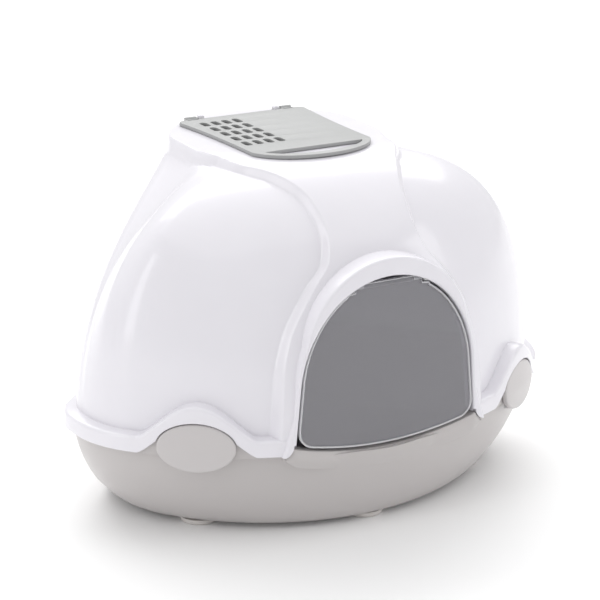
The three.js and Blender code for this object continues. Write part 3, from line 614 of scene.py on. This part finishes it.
def tray_shell(depth):
    rings = [tray_ring(TRAY_STOPS, level, depth) for level in np.linspace(1, 0, 26)]
    if depth > 0:
        rings.append(flat_ring(inset(TRAY_TOP, depth), TRAY_WALL_TOP + 60, TRAY_STOPS))
    return skin("base_tray_visual" if depth == 0 else "tray_inside", rings)


def tray_edge():
    """Upright edge that the hood's skirt slips over."""
    outer, inner = inset(RIM, LIP_THICK + 1.5), inset(RIM, LIP_THICK + 4.5)
    top = LEDGE_TOP - LEDGE_THICK - 1.2
    wall = inset(TRAY_TOP, 1.5)
    rings = [flat_ring(wall, TRAY_WALL_TOP - 1.5, EDGE_STOPS),
             flat_ring(outer, TRAY_WALL_TOP + 2, EDGE_STOPS),
             arched_ring(outer, top - 0.6, EDGE_STOPS),
             arched_ring(inset(outer, 0.6), top, EDGE_STOPS),
             arched_ring(inset(inner, -0.6), top, EDGE_STOPS),
             arched_ring(inner, top - 0.6, EDGE_STOPS),
             flat_ring(inner, TRAY_WALL_TOP + 5, EDGE_STOPS),
             flat_ring(wall, TRAY_WALL_TOP + 2, EDGE_STOPS)]
    return loop_band("tray_edge", rings)


def lobe_z(x):
    """Height of the lobe's round edge over a place on the sill."""
    across = DOOR["foot"] + DOOR["lobe_r"] - x
    if across > DOOR["lobe_r"]:
        return math.inf
    return RIM_BOTTOM - 0.5 + DOOR["lobe_r"] - math.sqrt(DOOR["lobe_r"] ** 2 - across ** 2)


def sill():
    """Bulging sill under the doorway: its top dips in the middle and its lower edge is a wide U."""
    steps = 72
    rings = []
    centre_y = RIM["front"] + RIM["front_r"]
    for i in range(steps + 1):
        x = -SILL["half"] * math.cos(math.pi * i / steps)
        top = min(SILL["top"] + SILL["smile"] * x * x, lobe_z(abs(x)) - SILL["lobe_gap"])
        low = SILL["low"] - SILL["drop"] * math.sqrt(max(0, 1 - (x / SILL["half"]) ** 2))
        wall = centre_y - math.sqrt((TRAY_TOP["front_r"] - 1.5) ** 2 - x * x)
        back = max(SILL["back"], wall + 5)
        front = max(SILL["front"], centre_y - math.sqrt(RIM["front_r"] ** 2 - x * x))
        foot = min(wall, front)
        section = [(back, top), (front + 2, top), (front + 0.6, top - 0.5), (front, top - 1.8)]
        for u in np.linspace(0.25, 1, 5):
            y = front + (foot + 1.5 - front) * u ** 1.4 - 1.6 * math.sin(math.pi * u)
            section.append((y, top - 1.8 - (top - low - 1.8) * u))
        section.append((back, low))
        rings.append([(x, y, z) for y, z in section])
    return skin("sill", rings)


def sill_room():
    """Room above the sill, where the tray's edge is left out."""
    half = DOOR["foot"] + 0.4
    line = [(x, min(SILL["top"] + SILL["smile"] * x * x, TRAY_WALL_TOP - 2.5))
            for x in np.linspace(-half, half, 33)]
    line += [(half, 200), (-half, 200)]
    return along_y("sill_room", [(line, -150), (line, -260)])


def slab(name, place, x, z, depth):
    """Block in a latch's place: x along the edge, z up and depth outwards."""
    line = [(x[0], z[0]), (x[1], z[0]), (x[1], z[1]), (x[0], z[1])]
    return skin(name, [placed(place, [(a, b, d) for a, b in line]) for d in depth])


def latch_boss(side):
    """Boss that the latch's pin passes through, round below so that the latch swings clear of it."""
    place = latch_place(side)
    z, depth, half, r = LATCH_PIN["z"], -LATCH_PIN["inset"], LATCH_PIN["boss"], LATCH_PIN["boss_r"]
    solid = slab("boss", place, (-half, half), (z - r + 0.05, z + 1), (-15, depth))
    solid = join(solid, slab("upper", place, (-half, half), (z, z + 6), (-15, -4.9)))
    solid = join(solid, rod("round", *placed(place, [(-half, z, depth), (half, z, depth)]), r))
    far = placed(place, [(-40, z, depth), (40, z, depth)])
    return cut(solid, rod("bore", *far, LATCH_PIN["bore"], chamfer=0))


def tray():
    solid = cut(tray_shell(0), tray_shell(WALL))
    solid = join(solid, tray_edge())
    solid = cut(solid, sill_room())
    half = DOOR["foot"] + 17
    line = [(-half, -260), (half, -260), (half, -212), (-half, -212)]
    solid = cut(solid, upright("sill_gap", [(line, TRAY_WALL_TOP - 2.5), (line, 200)]))
    solid = join(solid, sill())
    for side in (1, -1):
        solid = join(solid, latch_boss(side))
    return smooth(solid, 28)


# ---------------------------------------------------------------- latches and pads
def latch(side, name):
    """Oval cover plate with two facets, a soft edge and two hinge knuckles behind."""
    place = latch_place(side)
    count = 96
    radius = RIM["front_r"]

    def surface(x, y):
        bend = math.sqrt(radius ** 2 - x ** 2) - radius
        up = (y - LATCH["z"]) / LATCH["tall"]
        facet = 2.0 - 3.4 * max(0, up + 0.12) ** 1.15 - 0.9 * max(0, -up - 0.2)
        return bend + facet

    rings = [ellipse(-1.2, -3.9, count), ellipse(-0.4, -3.3, count)]
    rings = [[(x, y, z + math.sqrt(radius ** 2 - x ** 2) - radius) for x, y, z in r] for r in rings]
    for share, drop in ((1.0, 2.2), (0.997, 1.2), (0.987, 0.5), (0.97, 0.12), (0.94, 0), (0.88, 0),
                        (0.78, 0), (0.66, 0), (0.52, 0), (0.36, 0), (0.2, 0), (0.07, 0)):
        rings.append([(x * share, LATCH["z"] + (y - LATCH["z"]) * share,
                       surface(x * share, LATCH["z"] + (y - LATCH["z"]) * share) - drop)
                      for x, y, _ in ellipse(0, 0, count)])
    parts = [skin(name + "_visual", [placed(place, r) for r in rings])]
    for end in (1, -1):
        low = LATCH_PIN["start"] if end > 0 else -LATCH_PIN["stop"]
        high = low + LATCH_PIN["stop"] - LATCH_PIN["start"]
        z = LATCH_PIN["z"]
        web = [(low, z - 2.6), (high, z - 2.6), (high, z + 2.6), (low, z + 2.6)]
        body = skin("web", [placed(place, [(x, y, d) for x, y in web]) for d in (-LATCH_PIN["inset"], -3)])
        ends = placed(place, [(low, z, -LATCH_PIN["inset"]), (high, z, -LATCH_PIN["inset"])])
        body = join(body, rod("knuckle", *ends, LATCH_PIN["knuckle_r"]))
        far = placed(place, [(-40, z, -LATCH_PIN["inset"]), (40, z, -LATCH_PIN["inset"])])
        body = cut(body, rod("bore", *far, LATCH_PIN["bore"], chamfer=0))
        parts.append(body)
    return smooth(merge_objects(name + "_visual", parts), 35)


def foot_pad(node):
    """Round pad with a soft edge and grip rings under it."""
    low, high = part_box(node)
    x, y = (low.x + high.x) / 2 / MM, (low.y + high.y) / 2 / MM - SHIFT
    r, top = (high.x - low.x) / 2 / MM, high.z / MM
    profile = [(0.5, 0.8), (4, 0.8), (4.6, 0), (8, 0), (8.6, 0.8), (11, 0.8), (11.6, 0), (r - 3, 0),
               (r - 1.2, 0.4), (r - 0.3, 1.4), (r, 2.6), (r, top)]
    rings = []
    for radius, z in profile:
        rings.append([(x + radius * math.cos(a), y + radius * math.sin(a), z)
                      for a in np.linspace(0, 2 * math.pi, 64, endpoint=False)])
    return smooth(skin(node + "_visual", rings), 40)


# ---------------------------------------------------------------- flap
def flap_line(shrink):
    """Outline of the swing flap in x and z, counter-clockwise, from the middle of its lower edge."""
    x, r = FLAP["corner_x"], FLAP["corner"]
    tilt = 2 * FLAP["smile"] * x
    z = FLAP["bottom"] + FLAP["smile"] * x * x + r * math.hypot(1, tilt)
    r -= shrink
    right = [(a, FLAP["bottom"] + shrink + FLAP["smile"] * a * a)
             for a in np.linspace(0, x + r * tilt, 24)[1:-1]]
    right += arc_points(x, z, r, -math.pi / 2 + math.atan(tilt), 0, 14)
    shoulder_x, shoulder_z = FLAP["shoulder_x"] - shrink * 0.6, FLAP["shoulder_z"] - shrink * 0.8
    arch = door_line(-FLAP["gap"] - shrink, 0)[2:]
    right += [p for p in arch if p[0] > shoulder_x and z < p[1] < shoulder_z]
    right += [(shoulder_x, shoulder_z), (FLAP["neck_x"] - shrink * 0.3, shoulder_z + 1)]
    right += [(FLAP["neck_x"] - 1 - shrink * 0.3, FLAP["axis_z"] + FLAP["tube_r"] - 0.4 - shrink)]
    return [(0, FLAP["bottom"] + shrink), *right, *[(-a, b) for a, b in right[::-1]]]


GLINT_PAINTED_ROWS = (1, 6)                # rows of the panel's edge and bead faces that get the lighter rim material, a painted glint along the rim


def flap():
    front, back = FLAP["y"] - FLAP["thick"] / 2, FLAP["y"] + FLAP["thick"] / 2
    stack = [(flap_line(0.5), back), (flap_line(0), back - 0.5), (flap_line(0), front - 0.5),
             (flap_line(0.4), front - 1.0), (flap_line(1.0), front - 1.0), (flap_line(1.5), front - 0.3),
             (flap_line(1.9), front - 0.3), (flap_line(2.3), front - 0.9), (flap_line(2.9), front - 0.9),
             (flap_line(3.4), front), (flap_line(5), front)]
    panel = along_y("door_flap_visual", stack)
    count = len(stack[0][0])
    for face in panel.data.polygons:
        # these edge and bead faces take the second, lighter material: a painted glint in place of the light
        # that the flap's clear edge catches
        if GLINT_PAINTED_ROWS[0] * count <= face.index < GLINT_PAINTED_ROWS[1] * count:
            face.material_index = 1
    start, stop = [(x, FLAP["y"], FLAP["axis_z"]) for x in (-FLAP["tube_x"], FLAP["tube_x"])]
    tube = rod("tube", start, stop, FLAP["tube_r"])
    return smooth(join(panel, tube), 30)


# ---------------------------------------------------------------- vent lid
def bezier(a, b, c, d, count):
    u = np.linspace(0, 1, count)[:, None]
    a, b, c, d = (np.array(p, float) for p in (a, b, c, d))
    curve = (1 - u) ** 3 * a + 3 * (1 - u) ** 2 * u * b + 3 * (1 - u) * u * u * c + u ** 3 * d
    return [tuple(p) for p in curve]


def quadratic(a, b, c, count):
    u = np.linspace(0, 1, count)[:, None]
    a, b, c = (np.array(p, float) for p in (a, b, c))
    return [tuple(p) for p in (1 - u) ** 2 * a + 2 * (1 - u) * u * b + u * u * c]


def lid_line():
    front, back, corner = LID["front"], LID["back"], LID["corner"]
    hf, hb = LID["half_front"], LID["half_back"]
    reach = front - LID["bow"] / 0.75
    waist = (hf + hb) / 2 - LID["waist"]
    line = bezier((-hf, front), (-hf * 0.75, reach), (hf * 0.75, reach), (hf, front), 48)
    line += quadratic((hf, front), (waist, (front + back) / 2), (hb, back - corner), 16)[1:]
    line += quadratic((hb, back - corner), (hb + 1, back), (hb - corner, back), 8)[1:]
    line += quadratic((-hb + corner, back), (-hb - 1, back), (-hb, back - corner), 8)
    line += quadratic((-hb, back - corner), (-waist, (front + back) / 2), (-hf, front), 16)[1:-1]
    return line


def window_line():
    half, back = LID["window_half"], LID["window_back"]
    reach = back - (LID["bow"] - LID["bow_width"] + back - LID["front"]) / 0.75
    return bezier((-half, back), (-half * 0.75, reach), (half * 0.75, reach), (half, back), 40)


def slot_line(x, y):
    r = SLOT["width"] / 2
    straight = SLOT["length"] / 2 - r
    line = arc_points(x, y + straight, r, 0, math.pi, 9)
    return line + arc_points(x, y - straight, r, math.pi, 2 * math.pi, 9)


def plate(name, lines, low, high, edge):
    """Flat plate with holes and rounded edges, from closed outlines in x and y."""
    curve = bpy.data.curves.new(name, "CURVE")
    curve.dimensions = "2D"
    curve.fill_mode = "BOTH"
    for line in lines:
        spline = curve.splines.new("POLY")
        spline.points.add(len(line) - 1)
        for point, (x, y) in zip(spline.points, line):
            point.co = (x * MM, (y + SHIFT) * MM, 0, 1)
        spline.use_cyclic_u = True
    curve.extrude = ((high - low) / 2 - edge) * MM
    curve.bevel_depth = edge * MM
    curve.bevel_resolution = 2
    curve.offset = -edge * MM
    holder = bpy.data.objects.new(name, curve)
    bpy.context.scene.collection.objects.link(holder)
    holder.location.z = (low + high) / 2 * MM
    bpy.context.view_layer.update()
    graph = bpy.context.evaluated_depsgraph_get()
    data = bpy.data.meshes.new_from_object(holder.evaluated_get(graph))
    data.transform(holder.matrix_world)
    bpy.data.objects.remove(holder)
    obj = bpy.data.objects.new(name, data)
    bpy.context.scene.collection.objects.link(obj)
    bpy.context.view_layer.objects.active = obj
    bpy.ops.object.select_all(action="DESELECT")
    obj.select_set(True)
    bpy.ops.object.mode_set(mode="EDIT")
    bpy.ops.mesh.select_all(action="SELECT")
    bpy.ops.mesh.remove_doubles(threshold=0.00002)
    bpy.ops.mesh.normals_make_consistent(inside=False)
    bpy.ops.object.mode_set(mode="OBJECT")
    return obj


def lid():
    low = PLATEAU_TOP + LID["gap"]
    lines = [lid_line(), window_line()]
    for row in range(SLOT["rows"]):
        for column in range(SLOT["columns"]):
            lines.append(slot_line(SLOT["first_x"] + column * SLOT["pitch_x"],
                                   SLOT["first_y"] - row * SLOT["pitch_y"]))
    parts = [plate("vent_lid_visual", lines, low, low + LID["thick"], 0.7)]
    for side in (1, -1):
        start, stop = side * LID_PIN["start"], side * LID_PIN["stop"]
        arm = soft_box("arm", (min(start, stop), max(start, stop)), (LID["back"] - 3, LID_PIN["y"] + 1),
                       (low + 0.4, low + LID["thick"]), 0.8)
        knuckle = rod("knuckle", (start, LID_PIN["y"], LID_PIN["z"]), (stop, LID_PIN["y"], LID_PIN["z"]),
                      LID_PIN["r"])
        hinge = join(arm, knuckle)
        near, far = [(side * x, LID_PIN["y"], LID_PIN["z"]) for x in (50, 74)]
        bore = rod("bore", near, far, LID_PIN["bore"], chamfer=0)
        parts.append(cut(hinge, bore))
    return smooth(merge_objects("vent_lid_visual", parts), 30)


# ---------------------------------------------------------------- materials
def new_material(name):
    material = bpy.data.materials.new(name)
    material.use_nodes = True
    nodes = material.node_tree.nodes
    return material, nodes, material.node_tree.links, nodes["Principled BSDF"]


def noise(nodes, links, scale, detail=4, stretch=(1, 1, 1)):
    place = nodes.new("ShaderNodeTexCoord")
    mapping = nodes.new("ShaderNodeMapping")
    mapping.inputs["Scale"].default_value = stretch
    links.new(place.outputs["Object"], mapping.inputs["Vector"])
    texture = nodes.new("ShaderNodeTexNoise")
    texture.inputs["Scale"].default_value = scale
    texture.inputs["Detail"].default_value = detail
    links.new(mapping.outputs["Vector"], texture.inputs["Vector"])
    return texture


def ramp(nodes, links, source, low, high):
    node = nodes.new("ShaderNodeMapRange")
    node.inputs["From Min"].default_value = 0.3
    node.inputs["From Max"].default_value = 0.7
    node.inputs["To Min"].default_value = low
    node.inputs["To Max"].default_value = high
    links.new(source, node.inputs["Value"])
    return node.outputs["Result"]


def moulded(name, light, dark, rough, grain_scale, grain_height, coat=0.0):
    """Injection-moulded plastic: slow colour drift, uneven gloss and a fine surface grain."""
    material, nodes, links, shader = new_material(name)
    drift = noise(nodes, links, 14, 3)
    blend = nodes.new("ShaderNodeMix")
    blend.data_type = "RGBA"
    blend.inputs["A"].default_value = (*light, 1)
    blend.inputs["B"].default_value = (*dark, 1)
    links.new(ramp(nodes, links, drift.outputs["Fac"], 0, 1), blend.inputs["Factor"])
    links.new(blend.outputs["Result"], shader.inputs["Base Color"])
    haze = noise(nodes, links, 46, 5)
    links.new(ramp(nodes, links, haze.outputs["Fac"], rough * 0.92, rough * 1.1), shader.inputs["Roughness"])
    grain = noise(nodes, links, grain_scale, 2)
    bump = nodes.new("ShaderNodeBump")
    bump.inputs["Strength"].default_value = 0.25
    bump.inputs["Distance"].default_value = grain_height
    links.new(grain.outputs["Fac"], bump.inputs["Height"])
    links.new(bump.outputs["Normal"], shader.inputs["Normal"])
    shader.inputs["IOR"].default_value = 1.5
    shader.inputs["Coat Weight"].default_value = coat
    shader.inputs["Coat Roughness"].default_value = 0.08
    return material


def smoked(name, colour, clear):
    """Smoked clear plastic with fine scuffs."""
    material, nodes, links, shader = new_material(name)
    shader.inputs["Base Color"].default_value = (*colour, 1)
    shader.inputs["Transmission Weight"].default_value = clear
    shader.inputs["IOR"].default_value = 1.46
    scuff = noise(nodes, links, 260, 6, (1, 1, 0.15))
    links.new(ramp(nodes, links, scuff.outputs["Fac"], 0.10, 0.2), shader.inputs["Roughness"])
    bump = nodes.new("ShaderNodeBump")
    bump.inputs["Strength"].default_value = 0.05
    bump.inputs["Distance"].default_value = 0.000001
    links.new(scuff.outputs["Fac"], bump.inputs["Height"])
    links.new(bump.outputs["Normal"], shader.inputs["Normal"])
    return material


def fleece():
    """Black carbon fleece: matted fibres with grey lint."""
    material, nodes, links, shader = new_material("carbon_fleece")
    fibre = noise(nodes, links, 900, 8, (1, 0.35, 1))
    blend = nodes.new("ShaderNodeMix")
    blend.data_type = "RGBA"
    blend.inputs["A"].default_value = (0.012, 0.012, 0.013, 1)
    blend.inputs["B"].default_value = (0.07, 0.07, 0.075, 1)
    links.new(ramp(nodes, links, fibre.outputs["Fac"], 0, 1), blend.inputs["Factor"])
    links.new(blend.outputs["Result"], shader.inputs["Base Color"])
    shader.inputs["Roughness"].default_value = 0.95
    bump = nodes.new("ShaderNodeBump")
    bump.inputs["Strength"].default_value = 0.9
    bump.inputs["Distance"].default_value = 0.0006
    links.new(fibre.outputs["Fac"], bump.inputs["Height"])
    links.new(bump.outputs["Normal"], shader.inputs["Normal"])
    return material


WHITE = moulded("white_gloss_plastic", (0.80, 0.785, 0.83), (0.785, 0.77, 0.815), 0.2, 1300, 0.000006, 0.25)
GREY = moulded("warm_grey_plastic", (0.53, 0.505, 0.50), (0.52, 0.493, 0.489), 0.3, 1300, 0.00001, 0.1)
LATCH_GREY = moulded("latch_plastic", (0.58, 0.555, 0.555), (0.57, 0.545, 0.545), 0.3, 1300, 0.00001)
LID_GREY = moulded("lid_plastic", (0.385, 0.39, 0.388), (0.36, 0.365, 0.363), 0.42, 1400, 0.00008)
PIN_GREY = moulded("pin_plastic", (0.62, 0.62, 0.62), (0.58, 0.58, 0.58), 0.4, 1200, 0.00004)
PAD_SOFT = moulded("grip_pad", (0.68, 0.65, 0.63), (0.62, 0.59, 0.57), 0.7, 1600, 0.0001)
SMOKED = smoked("smoked_plastic", (0.80, 0.79, 0.84), 0.82)
# lighter, less clear material for the flap's rim: a painted glint in place of the light that the clear edge
# catches
RIM_PAINTED_GLINT = smoked("flap_rim_painted_glint", (0.92, 0.92, 0.94), 0.35)
FLEECE = fleece()

# ---------------------------------------------------------------- the object
dress(hood(), "hood", "hood", WHITE, "hood_shell")
dress(tray(), "base", "tray", GREY, "base_tray")
for side, name in ((-1, "left"), (1, "right")):
    dress(latch(side, f"latch_{name}"), f"{name}_latch", "latch", LATCH_GREY, f"latch_{name}")
for number in range(1, 6):
    dress(foot_pad(f"foot_{number}"), "base", "foot", PAD_SOFT, f"foot_{number}")
door_flap = dress(flap(), "flap", "flap", SMOKED, "door_flap")
# the second slot holds the rim's painted glint
door_flap.data.materials.append(RIM_PAINTED_GLINT)
dress(lid(), "lid", "lid", LID_GREY, "vent_lid")

carried = {"filter_frame": LID_GREY, "carbon_filter": FLEECE}
for side in ("left", "right"):
    for node in ("flap_pin_", "flap_bracket_", "lid_pin_", "latch_pin_"):
        carried[node + side] = PIN_GREY
for node, material in carried.items():
    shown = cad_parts[node]
    shown.data.materials.clear()
    shown.data.materials.append(material)

# ---------------------------------------------------------------- stage, light and camera
def floor():
    material, _, _, shader = new_material("pale_floor")
    shader.inputs["Base Color"].default_value = (0.95, 0.95, 0.95, 1)
    shader.inputs["Roughness"].default_value = 0.6
    size = 9.0
    data = bpy.data.meshes.new("floor")
    corners = [(-size, -size, 0), (size, -size, 0), (size, size, 0), (-size, size, 0)]
    data.from_pydata(corners, [], [(0, 1, 2, 3)])
    obj = bpy.data.objects.new("floor", data)
    bpy.context.scene.collection.objects.link(obj)
    data.materials.append(material)


def area_light(name, at, target, size, power):
    data = bpy.data.lights.new(name, "AREA")
    data.shape = "RECTANGLE"
    data.size, data.size_y = size
    data.energy = power
    obj = bpy.data.objects.new(name, data)
    bpy.context.scene.collection.objects.link(obj)
    obj.location = at
    obj.rotation_euler = (Vector(target) - Vector(at)).to_track_quat("-Z", "Y").to_euler()


floor()
world = bpy.data.worlds.new("studio")
bpy.context.scene.world = world
world.use_nodes = True
world.node_tree.nodes["Background"].inputs["Color"].default_value = (1, 1, 1, 1)
world.node_tree.nodes["Background"].inputs["Strength"].default_value = 0.66
bpy.context.scene.view_settings.view_transform = "Standard"
area_light("overhead", (0.0, -0.1, 1.9), (0, 0, 0.2), (3.0, 3.0), 16)
area_light("left_key", (-2.4, -0.2, 1.0), (0, 0, 0.25), (0.7, 1.8), 8)
area_light("right_fill", (1.7, -1.3, 0.8), (0, 0, 0.2), (0.6, 1.3), 5)
area_light("backdrop", (1.6, 3.4, 3.0), (1.6, 3.4, 0), (6.0, 4.5), 190)

VIEW_FROM = (-1.1464, -2.1027, 0.9693)
VIEW_TO = (0, -0.0322, 0.2003)
camera_data = bpy.data.cameras.new("camera")
camera_data.lens = 133.85
camera_data.sensor_width = 36
camera = bpy.data.objects.new("camera", camera_data)
bpy.context.scene.collection.objects.link(camera)
camera.location = VIEW_FROM
camera.rotation_euler = (Vector(VIEW_TO) - Vector(VIEW_FROM)).to_track_quat("-Z", "Y").to_euler()
bpy.context.scene.camera = camera
